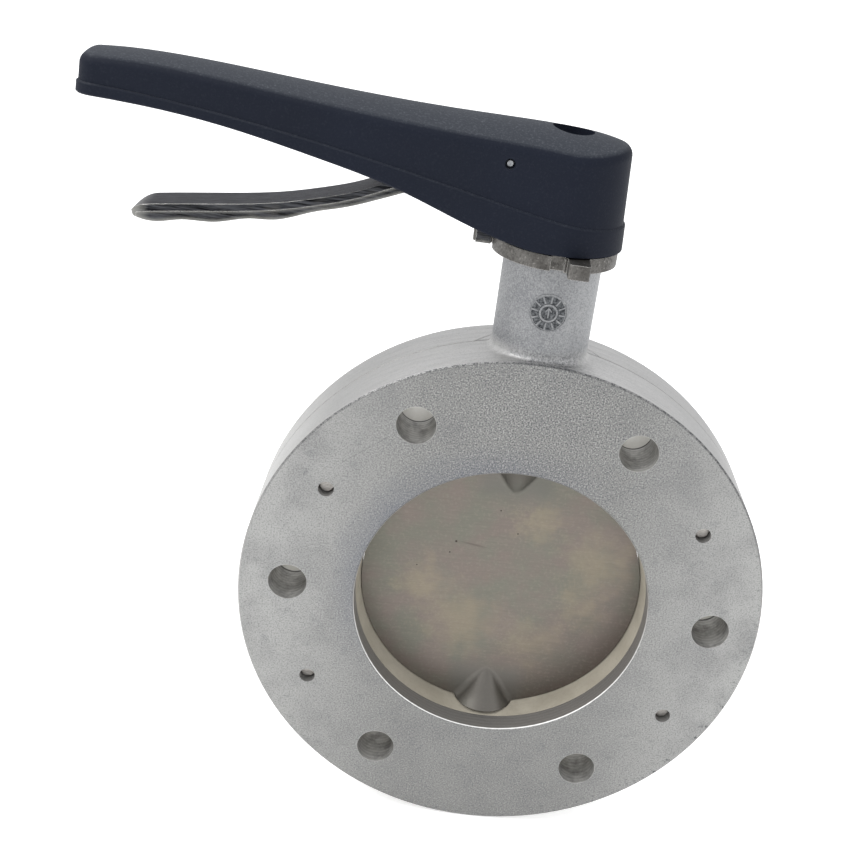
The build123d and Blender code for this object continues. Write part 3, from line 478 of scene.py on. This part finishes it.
# where the pickling acid lay longest the steel is palest and yellowish, in a few ragged clouds
pale = 0.0
for x, z, spread in ((31, 12, 17), (29, -6, 13), (-13, -16, 19), (14, -24, 17), (-27, -3, 13),
                     (10, 26, 11)):
    cloud = node(tree, "VectorMath", {0: wandered, 1: (x * MM, DISC_FACE_Y, z * MM)}, operation="DISTANCE",
                 out="Value")
    cloud = node(tree, "MapRange", {0: cloud, 1: 0.0, 2: spread * MM, 3: 1.0, 4: 0.0},
                 interpolation_type="SMOOTHSTEP")
    pale = node(tree, "Math", {0: pale, 1: cloud}, operation="MAXIMUM")
steel = node(tree, "Mix", {0: node(tree, "Math", {0: pale, 1: 0.85}, operation="MULTIPLY"),
                           6: steel, 7: linear("7E7667")}, data_type="RGBA")
low_right = node(tree, "Math",
                 {0: node(tree, "Math", {0: across, 1: 0.8}, operation="MULTIPLY"), 1: height},
                 operation="SUBTRACT")
low_right = node(tree, "MapRange", {0: low_right, 1: 22 * MM, 2: 62 * MM, 3: 0.0, 4: 0.75})
steel = node(tree, "Mix", {0: low_right, 6: steel, 7: linear("5C534E")}, data_type="RGBA")
steel = node(tree, "Mix", {0: node(tree, "MapRange", {0: scratches, 1: 0.48, 2: 0.70, 3: 0.0, 4: 0.26}),
                           6: steel, 7: linear("5E5851")}, data_type="RGBA")
steel = node(tree, "Mix", {0: node(tree, "MapRange", {0: scratches, 1: 0.26, 2: 0.46, 3: 0.16, 4: 0.0}),
                           6: steel, 7: linear("8A8377")}, data_type="RGBA")
steel = node(tree, "Mix", {0: node(tree, "MapRange", {0: fine, 1: 0.52, 2: 0.70, 3: 0.0, 4: 0.13}),
                           6: steel, 7: linear("948C80")}, data_type="RGBA")
# the bosses were not linished and stay a plain grey
beside_axis = node(tree, "MapRange", {0: node(tree, "Math", {0: across}, operation="ABSOLUTE"),
                                      1: 10 * MM, 2: 15 * MM, 3: 1.0, 4: 0.0})
past_tip = node(tree, "MapRange",
                {0: node(tree, "Math", {0: height}, operation="ABSOLUTE"), 1: 31 * MM, 2: 37 * MM})
boss_share = node(tree, "Math", {0: beside_axis, 1: past_tip}, operation="MULTIPLY")
boss_share = node(tree, "Math", {0: boss_share, 1: 0.7}, operation="MULTIPLY")
steel = node(tree, "Mix", {0: boss_share, 6: steel, 7: linear("64635E")}, data_type="RGBA")
# a few small casting pits on the face, and the one mark that something dragged across it
for x, z, width in ((-17.6, 14.5, 0.5), (-19.3, 10.0, 0.35), (-3.9, 28.3, 0.35), (3.1, 20.2, 0.35),
                    (-30.0, 3.5, 0.3)):
    pit = node(tree, "VectorMath", {0: place, 1: (x * MM, DISC_FACE_Y, z * MM)}, operation="DISTANCE",
               out="Value")
    pit = node(tree, "MapRange", {0: pit, 1: 0.6 * width * MM, 2: width * MM, 3: 0.85, 4: 0.0})
    steel = node(tree, "Mix", {0: pit, 6: steel, 7: linear("2E2522")}, data_type="RGBA")
dragged = node(tree, "VectorMath", {0: place, 1: (-11.4 * MM, DISC_FACE_Y, 14.0 * MM)},
               operation="SUBTRACT")
dragged = node(tree, "VectorRotate", {0: dragged, "Angle": math.radians(-8)}, rotation_type="Y_AXIS")
dragged = node(tree, "VectorMath", {0: dragged, 1: (0.09, 1.0, 1.0)}, operation="MULTIPLY")
dragged = node(tree, "VectorMath", {0: dragged}, operation="LENGTH", out="Value")
dragged = node(tree, "MapRange", {0: dragged, 1: 0.15 * MM, 2: 0.55 * MM, 3: 0.5, 4: 0.0})
steel = node(tree, "Mix", {0: dragged, 6: steel, 7: linear("4E4742")}, data_type="RGBA")
tree.links.new(steel, shader.inputs["Base Color"])
shader.inputs["Metallic"].default_value = 0.75
tree.links.new(node(tree, "MapRange", {0: mottle, 1: 0.3, 2: 0.7, 3: 0.40, 4: 0.52}),
               shader.inputs["Roughness"])
linished = node(tree, "Bump", {"Height": scratches, "Distance": 0.03 * MM, "Strength": 0.5})
tree.links.new(node(tree, "Bump",
                    {"Height": fine, "Distance": 0.03 * MM, "Strength": 0.4, "Normal": linished}),
               shader.inputs["Normal"])
give(pickled_stainless, "disc")

# ---------------------------------------------------------------- stem and what it turns in
# A turned stainless stem, two rubber rings in its grooves, three polymer bushes, a lip wiper
# and a thrust washer. They are hidden in the neck, and show only when the valve is taken apart.
# The square insert in the lever's hub is turned from the same bar as the stem.

# turned stainless: bright, with a fine line for every half millimetre that the tool was fed
TURNING_FEED = 0.5 * MM
turned_stainless, tree, shader = finish_named("turned_stainless")
place = node(tree, "TexCoord", out="Object")
up_stem = node(tree, "SeparateXYZ", {0: place}, out="Z")
feed = node(tree, "Math", {0: up_stem, 1: 2 * math.pi / TURNING_FEED}, operation="MULTIPLY")
feed = node(tree, "Math", {0: feed}, operation="SINE")
smear = node(tree, "TexNoise", {"Vector": place, "Scale": 1 / (5 * MM), "Detail": 3.0})
tree.links.new(node(tree, "Mix", {0: smear, 6: linear("B9B7B2"), 7: linear("8E8C88")}, data_type="RGBA"),
               shader.inputs["Base Color"])
shader.inputs["Metallic"].default_value = 1.0
shader.inputs["Roughness"].default_value = 0.3
tree.links.new(node(tree, "Bump", {"Height": feed, "Distance": 0.01 * MM, "Strength": 0.6}),
               shader.inputs["Normal"])
give(turned_stainless, "drive_stem", "hub_insert")

# moulded rubber: dull black, with the faint grey bloom that old rubber has
black_rubber, tree, shader = finish_named("moulded_black_rubber")
place = node(tree, "TexCoord", out="Object")
bloom = node(tree, "TexNoise", {"Vector": place, "Scale": 1 / (2 * MM), "Detail": 3.0})
tree.links.new(node(tree, "Mix", {0: bloom, 6: linear("17181A"), 7: linear("2A2B2D")}, data_type="RGBA"),
               shader.inputs["Base Color"])
shader.inputs["Roughness"].default_value = 0.55
tree.links.new(node(tree, "Bump", {"Height": bloom, "Distance": 0.02 * MM, "Strength": 0.5}),
               shader.inputs["Normal"])
give(black_rubber, "stem_o_rings", "stem_wiper")

# filled fluoropolymer: waxy brown, speckled by its filler
filled_ptfe, tree, shader = finish_named("filled_ptfe_bush")
place = node(tree, "TexCoord", out="Object")
filler = node(tree, "TexNoise", {"Vector": place, "Scale": 1 / (0.8 * MM), "Detail": 2.0})
tree.links.new(node(tree, "Mix", {0: filler, 6: linear("5E564B"), 7: linear("7B7263")}, data_type="RGBA"),
               shader.inputs["Base Color"])
shader.inputs["Roughness"].default_value = 0.5
tree.links.new(node(tree, "Bump", {"Height": filler, "Distance": 0.02 * MM, "Strength": 0.4}),
               shader.inputs["Normal"])
give(filled_ptfe, "trunnion_bush", "lower_stem_bush", "upper_stem_bush", "thrust_washer")

# ---------------------------------------------------------------- notched plate
# Investment-cast stainless, left as it came from the shell: a gritty grey-brown skin
# whose corners are painted bright, partly rubbed metal and partly painted highlight.
gritty_stainless, tree, shader = finish_named("investment_cast_stainless_as_cast")
place = node(tree, "TexCoord", out="Object")
shell = node(tree, "TexNoise", {"Vector": place, "Scale": 1 / (0.8 * MM), "Detail": 3.0, "Roughness": 0.7})
stain = node(tree, "TexNoise", {"Vector": place, "Scale": 1 / (6 * MM), "Detail": 4.0})
tone = node(tree, "Mix", {0: node(tree, "MapRange", {0: stain, 1: 0.35, 2: 0.65}),
                          6: linear("666461"), 7: linear("4C4A47")}, data_type="RGBA")
tone = node(tree, "Mix", {0: node(tree, "MapRange", {0: shell, 1: 0.30, 2: 0.50, 3: 0.65, 4: 0.0}),
                          6: tone, 7: linear("383634")}, data_type="RGBA")
tone = node(tree, "Mix", {0: node(tree, "MapRange", {0: shell, 1: 0.60, 2: 0.75, 3: 0.0, 4: 0.7}),
                          6: tone, 7: linear("9A9792")}, data_type="RGBA")
# bright corners: partly rubbed metal, partly painted highlight
rounded = node(tree, "Bevel", {"Radius": 0.35 * MM})
straight = node(tree, "NewGeometry", out="Normal")
corner = node(tree, "VectorMath", {0: rounded, 1: straight}, operation="DOT_PRODUCT", out="Value")
worn = node(tree, "MapRange", {0: corner, 1: 0.80, 2: 0.985, 3: 0.75, 4: 0.0})
tone = node(tree, "Mix", {0: worn, 6: tone, 7: linear("D4D2CD")}, data_type="RGBA")
tree.links.new(tone, shader.inputs["Base Color"])
shader.inputs["Metallic"].default_value = 0.9
tree.links.new(node(tree, "MapRange", {0: shell, 1: 0.3, 2: 0.7, 3: 0.60, 4: 0.40}),
               shader.inputs["Roughness"])
tree.links.new(node(tree, "Bump",
                    {"Height": shell, "Distance": 0.15 * MM, "Strength": 0.8, "Normal": rounded}),
               shader.inputs["Normal"])
give(gritty_stainless, "notch_plate")

# ---------------------------------------------------------------- screws, bolt, washer and pin
# Steel fasteners: four countersunk screws in the plate, one cap screw with its washer in the
# lever's round recess, the pin that the trigger swings on, and the spring that returns it.

# zinc plate on the screws and the spring: pale grey, faintly clouded
plated_steel, tree, shader = finish_named("zinc_plated_steel")
place = node(tree, "TexCoord", out="Object")
spangle = node(tree, "TexNoise", {"Vector": place, "Scale": 1 / (1.5 * MM), "Detail": 3.0})
tree.links.new(node(tree, "Mix", {0: spangle, 6: linear("8B8D90"), 7: linear("BFC1C3")}, data_type="RGBA"),
               shader.inputs["Base Color"])
shader.inputs["Metallic"].default_value = 1.0
shader.inputs["Roughness"].default_value = 0.36
tree.links.new(node(tree, "Bump", {"Height": spangle, "Distance": 0.02 * MM, "Strength": 0.5}),
               shader.inputs["Normal"])
give(plated_steel, "plate_screws", "trigger_spring")

# the pin is bare drawn steel, dull from handling
dull_steel, tree, shader = finish_named("drawn_steel_dull")
place = node(tree, "TexCoord", out="Object")
tarnish = node(tree, "TexNoise", {"Vector": place, "Scale": 1 / (0.9 * MM), "Detail": 3.0})
tree.links.new(node(tree, "Mix", {0: node(tree, "MapRange", {0: tarnish, 1: 0.35, 2: 0.65}),
                                  6: linear("5A5C5F"), 7: linear("96989A")}, data_type="RGBA"),
               shader.inputs["Base Color"])
shader.inputs["Metallic"].default_value = 1.0
shader.inputs["Roughness"].default_value = 0.5
tree.links.new(node(tree, "Bump", {"Height": tarnish, "Distance": 0.03 * MM, "Strength": 0.5}),
               shader.inputs["Normal"])
give(dull_steel, "trigger_pin")

# black oxide on the cap screw and its washer: an oily near-black with a low shine
black_steel, tree, shader = finish_named("black_oxide_steel")
place = node(tree, "TexCoord", out="Object")
oil = node(tree, "TexNoise", {"Vector": place, "Scale": 1 / (2.5 * MM), "Detail": 3.0})
tree.links.new(node(tree, "Mix", {0: oil, 6: linear("1B1C1E"), 7: linear("34363A")}, data_type="RGBA"),
               shader.inputs["Base Color"])
shader.inputs["Metallic"].default_value = 0.8
shader.inputs["Roughness"].default_value = 0.42
tree.links.new(node(tree, "Bump", {"Height": oil, "Distance": 0.02 * MM, "Strength": 0.5}),
               shader.inputs["Normal"])
give(black_steel, "lever_bolt", "lever_washer")

# ---------------------------------------------------------------- lever
# Glass-filled nylon, moulded blue-black in a spark-eroded tool. The fine sandy texture looks
# almost flat on the sides; a painted grey sheen lies on the crown, where light falls on it at a slant.
textured_nylon, tree, shader = finish_named("moulded_nylon_spark_textured")
place = node(tree, "TexCoord", out="Object")
normal_z = node(tree, "SeparateXYZ", {0: node(tree, "TexCoord", out="Normal")}, out="Z")
texture = node(tree, "TexNoise",
               {"Vector": place, "Scale": 1 / (0.7 * MM), "Detail": 3.0, "Roughness": 0.7})
handled = node(tree, "TexNoise", {"Vector": place, "Scale": 1 / (30 * MM), "Detail": 3.0})
# painted sheen: faces turned upward get a paler grey, and the texture's peaks on them more so
upward = node(tree, "MapRange", {0: normal_z, 1: 0.66, 2: 0.92})
nylon = node(tree, "Mix", {0: handled, 6: linear("0F131D"), 7: linear("131824")}, data_type="RGBA")
nylon = node(tree, "Mix", {0: node(tree, "Math", {0: upward, 1: 0.6}, operation="MULTIPLY"),
                           6: nylon, 7: linear("3C3F44")}, data_type="RGBA")
peaks = node(tree, "MapRange", {0: texture, 1: 0.52, 2: 0.72})
peaks = node(tree, "Math", {0: peaks, 1: node(tree, "MapRange", {0: upward, 3: 0.03, 4: 0.28})},
             operation="MULTIPLY")
nylon = node(tree, "Mix", {0: peaks, 6: nylon, 7: linear("70747A")}, data_type="RGBA")
tree.links.new(nylon, shader.inputs["Base Color"])
shader.inputs["Roughness"].default_value = 0.62
shader.inputs["IOR"].default_value = 1.5
shader.inputs["Specular IOR Level"].default_value = 0.12
tree.links.new(node(tree, "Bump", {"Height": texture, "Distance": 0.08 * MM, "Strength": 0.5}),
               shader.inputs["Normal"])
give(textured_nylon, "lever")

# ---------------------------------------------------------------- trigger
# Stamped and ground stainless: dark between its long edges, which are painted bright, partly polish from
# fingers and partly painted highlight; the scallops underneath carry a painted reflection of the floor.
ground_stainless, tree, shader = finish_named("ground_stainless_worn_and_highlit")
place = node(tree, "TexCoord", out="Object")
long_way = node(tree, "VectorMath", {0: place, 1: (0.5, 9.0, 9.0)}, operation="MULTIPLY")
grind = node(tree, "TexNoise", {"Vector": long_way, "Scale": 1 / (8 * MM), "Detail": 4.0, "Roughness": 0.7})
stain = node(tree, "TexNoise", {"Vector": place, "Scale": 1 / (7 * MM), "Detail": 4.0})
tone = node(tree, "Mix", {0: node(tree, "MapRange", {0: grind, 1: 0.40, 2: 0.60}),
                          6: linear("0B0C0E"), 7: linear("404144")}, data_type="RGBA")
tone = node(tree, "Mix", {0: node(tree, "MapRange", {0: stain, 1: 0.55, 2: 0.75, 3: 0.0, 4: 0.3}),
                          6: tone, 7: linear("5C5A55")}, data_type="RGBA")
# the tip is paler where hands rub; the bottoms of the scallops, facing down, carry a painted reflection of
# the white floor
tip = node(tree, "MapRange",
           {0: node(tree, "SeparateXYZ", {0: place}), 1: -126 * MM, 2: -132 * MM, 3: 0.0, 4: 0.6})
wide_bevel = node(tree, "SeparateXYZ", {0: node(tree, "Bevel", {"Radius": 2.2 * MM})}, out="Z")
underside = node(tree, "MapRange", {0: wide_bevel, 1: -0.15, 2: -0.60, 3: 0.0, 4: 0.6})
on_rib = node(tree, "Math", {0: node(tree, "SeparateXYZ", {0: place}, out="Y")}, operation="ABSOLUTE")
on_rib = node(tree, "MapRange", {0: on_rib, 1: 5.8 * MM, 2: 6.2 * MM, 3: 1.0, 4: 0.0})
underside = node(tree, "Math", {0: underside, 1: on_rib}, operation="MULTIPLY")
rubbed = node(tree, "Math", {0: tip, 1: underside}, operation="MAXIMUM")
tone = node(tree, "Mix", {0: rubbed, 6: tone, 7: linear("A3A29C")}, data_type="RGBA")
# bright long edges: partly polished by fingers, partly painted highlight
rounded = node(tree, "Bevel", {"Radius": 0.45 * MM})
straight = node(tree, "NewGeometry", out="Normal")
corner = node(tree, "VectorMath", {0: rounded, 1: straight}, operation="DOT_PRODUCT", out="Value")
worn = node(tree, "MapRange", {0: corner, 1: 0.78, 2: 0.985, 3: 0.85, 4: 0.0})
worn = node(tree, "Math", {0: worn, 1: node(tree, "MapRange", {0: grind, 1: 0.3, 2: 0.6, 3: 0.5, 4: 1.0})},
            operation="MULTIPLY")
tone = node(tree, "Mix", {0: worn, 6: tone, 7: linear("E2E0DB")}, data_type="RGBA")
tree.links.new(tone, shader.inputs["Base Color"])
shader.inputs["Metallic"].default_value = 0.95
shader.inputs["Specular Tint"].default_value = linear("E0E0E2")
shader.inputs["Roughness"].default_value = 0.40
tree.links.new(node(tree, "Bump",
                    {"Height": grind, "Distance": 0.14 * MM, "Strength": 0.8, "Normal": rounded}),
               shader.inputs["Normal"])
give(ground_stainless, "trigger")

# ---------------------------------------------------------------- casting mark on the neck
# A round mark from an insert in the mould: twelve spokes round a small ring that holds a
# pointer. It stands a hair proud of the neck, and grime has settled between its lines.
NECK_R = 15.8 * MM
MARK_Z = 105.3 * MM
MARK_R = 6.2 * MM
MARK_PROUD = 0.22 * MM
BURIED = -0.3 * MM
SPOKES = 12
SPOKE_HALF_W = 0.24 * MM
POINTER_HALF_W = 0.2 * MM
ROUND_STEP = 6


def on_neck_skin(sideways, upwards, proud):
    """A point of the mark, rolled round the neck's front and lifted off it."""
    turn = sideways / NECK_R
    reach = NECK_R + proud
    return Vector((reach * math.sin(turn), -reach * math.cos(turn), MARK_Z + upwards))


def raised_strip(mesh, outline, closed, floor, top):
    """Adds a raised line along an outline of (inner, outer) pairs, with a flat top and two sides."""
    rows = []
    for inner, outer in outline:
        rows.append([mesh.verts.new(on_neck_skin(*inner, floor)), mesh.verts.new(on_neck_skin(*inner, top)),
                     mesh.verts.new(on_neck_skin(*outer, top)),
                     mesh.verts.new(on_neck_skin(*outer, floor))])
    for one, two in zip(rows, rows[1:] + ([rows[0]] if closed else [])):
        for a in range(3):
            mesh.faces.new((one[a], one[a + 1], two[a + 1], two[a]))
        mesh.faces.new((one[3], one[0], two[0], two[3]))
    if not closed:
        mesh.faces.new(rows[0])
        mesh.faces.new(rows[-1][::-1])


def spin(angle_deg, r, offset=0.0):
    """A point at an angle and radius in the mark's plane, moved sideways across that radius."""
    a = math.radians(angle_deg)
    return (r * math.sin(a) + offset * math.cos(a), r * math.cos(a) - offset * math.sin(a))


mark_mesh = bmesh.new()
for inner_r, outer_r in ((2.35 * MM, 2.95 * MM), (MARK_R - 0.35 * MM, MARK_R)):
    circle = [(spin(a, inner_r), spin(a, outer_r)) for a in range(0, 360, ROUND_STEP)]
    raised_strip(mark_mesh, circle, True, BURIED, MARK_PROUD)
for spoke in range(SPOKES):
    at = spoke * 360 / SPOKES + 6
    bar = [(spin(at, r, -SPOKE_HALF_W), spin(at, r, SPOKE_HALF_W)) for r in (3.3 * MM, 4.4 * MM, 5.5 * MM)]
    raised_strip(mark_mesh, bar, False, BURIED, MARK_PROUD)
for foot, tip in (((0.0, -1.5 * MM), (0.0, 1.5 * MM)), ((-0.9 * MM, 0.5 * MM), (0.0, 1.6 * MM)),
                  ((0.9 * MM, 0.5 * MM), (0.0, 1.6 * MM))):
    along = Vector((tip[0] - foot[0], tip[1] - foot[1])).normalized()
    side = Vector((along.y, -along.x)) * POINTER_HALF_W
    stroke = [((p[0] - side.x, p[1] - side.y), (p[0] + side.x, p[1] + side.y)) for p in (foot, tip)]
    raised_strip(mark_mesh, stroke, False, BURIED, MARK_PROUD)
bmesh.ops.recalc_face_normals(mark_mesh, faces=mark_mesh.faces)
mark_data = bpy.data.meshes.new("casting_mark")
mark_mesh.to_mesh(mark_data)
mark_mesh.free()
casting_mark = bpy.data.objects.new("casting_mark", mark_data)
bpy.context.scene.collection.objects.link(casting_mark)
mark_data.materials.append(cast_aluminium)
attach(casting_mark, "valve_body")

# the grimy floor of the mark, a thin skin on the neck whose edge dips into it
FLOOR_PROUD = 0.03 * MM
FLOOR_DIP = -0.1 * MM
FLOOR_RINGS = 6
floor_mesh = bmesh.new()
hub_of_floor = floor_mesh.verts.new(on_neck_skin(0, 0, FLOOR_PROUD))
last_ring = [hub_of_floor]
for step in range(1, FLOOR_RINGS + 1):
    proud = FLOOR_PROUD if step < FLOOR_RINGS else FLOOR_DIP
    ring = [floor_mesh.verts.new(on_neck_skin(*spin(a, MARK_R * step / FLOOR_RINGS), proud))
            for a in range(0, 360, ROUND_STEP)]
    for i, vert in enumerate(ring):
        beside = ring[(i + 1) % len(ring)]
        if step == 1:
            floor_mesh.faces.new((hub_of_floor, vert, beside))
        else:
            floor_mesh.faces.new((last_ring[i], vert, beside, last_ring[(i + 1) % len(ring)]))
    last_ring = ring
bmesh.ops.recalc_face_normals(floor_mesh, faces=floor_mesh.faces)
floor_data = bpy.data.meshes.new("casting_mark_floor")
floor_mesh.to_mesh(floor_data)
floor_mesh.free()
casting_mark_floor = bpy.data.objects.new("casting_mark_floor", floor_data)
bpy.context.scene.collection.objects.link(casting_mark_floor)

grimy_aluminium, tree, shader = finish_named("cast_aluminium_grimy")
place = node(tree, "TexCoord", out="Object")
grime = node(tree, "TexNoise", {"Vector": place, "Scale": 1 / (0.7 * MM), "Detail": 3.0, "Roughness": 0.7})
tree.links.new(node(tree, "Mix", {0: node(tree, "MapRange", {0: grime, 1: 0.38, 2: 0.62}),
                                  6: linear("2A2C2F"), 7: linear("6A6C6E")}, data_type="RGBA"),
               shader.inputs["Base Color"])
shader.inputs["Metallic"].default_value = 0.6
shader.inputs["Roughness"].default_value = 0.7
tree.links.new(node(tree, "Bump", {"Height": grime, "Distance": 0.15 * MM, "Strength": 0.8}),
               shader.inputs["Normal"])
floor_data.materials.append(grimy_aluminium)
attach(casting_mark_floor, "valve_body")
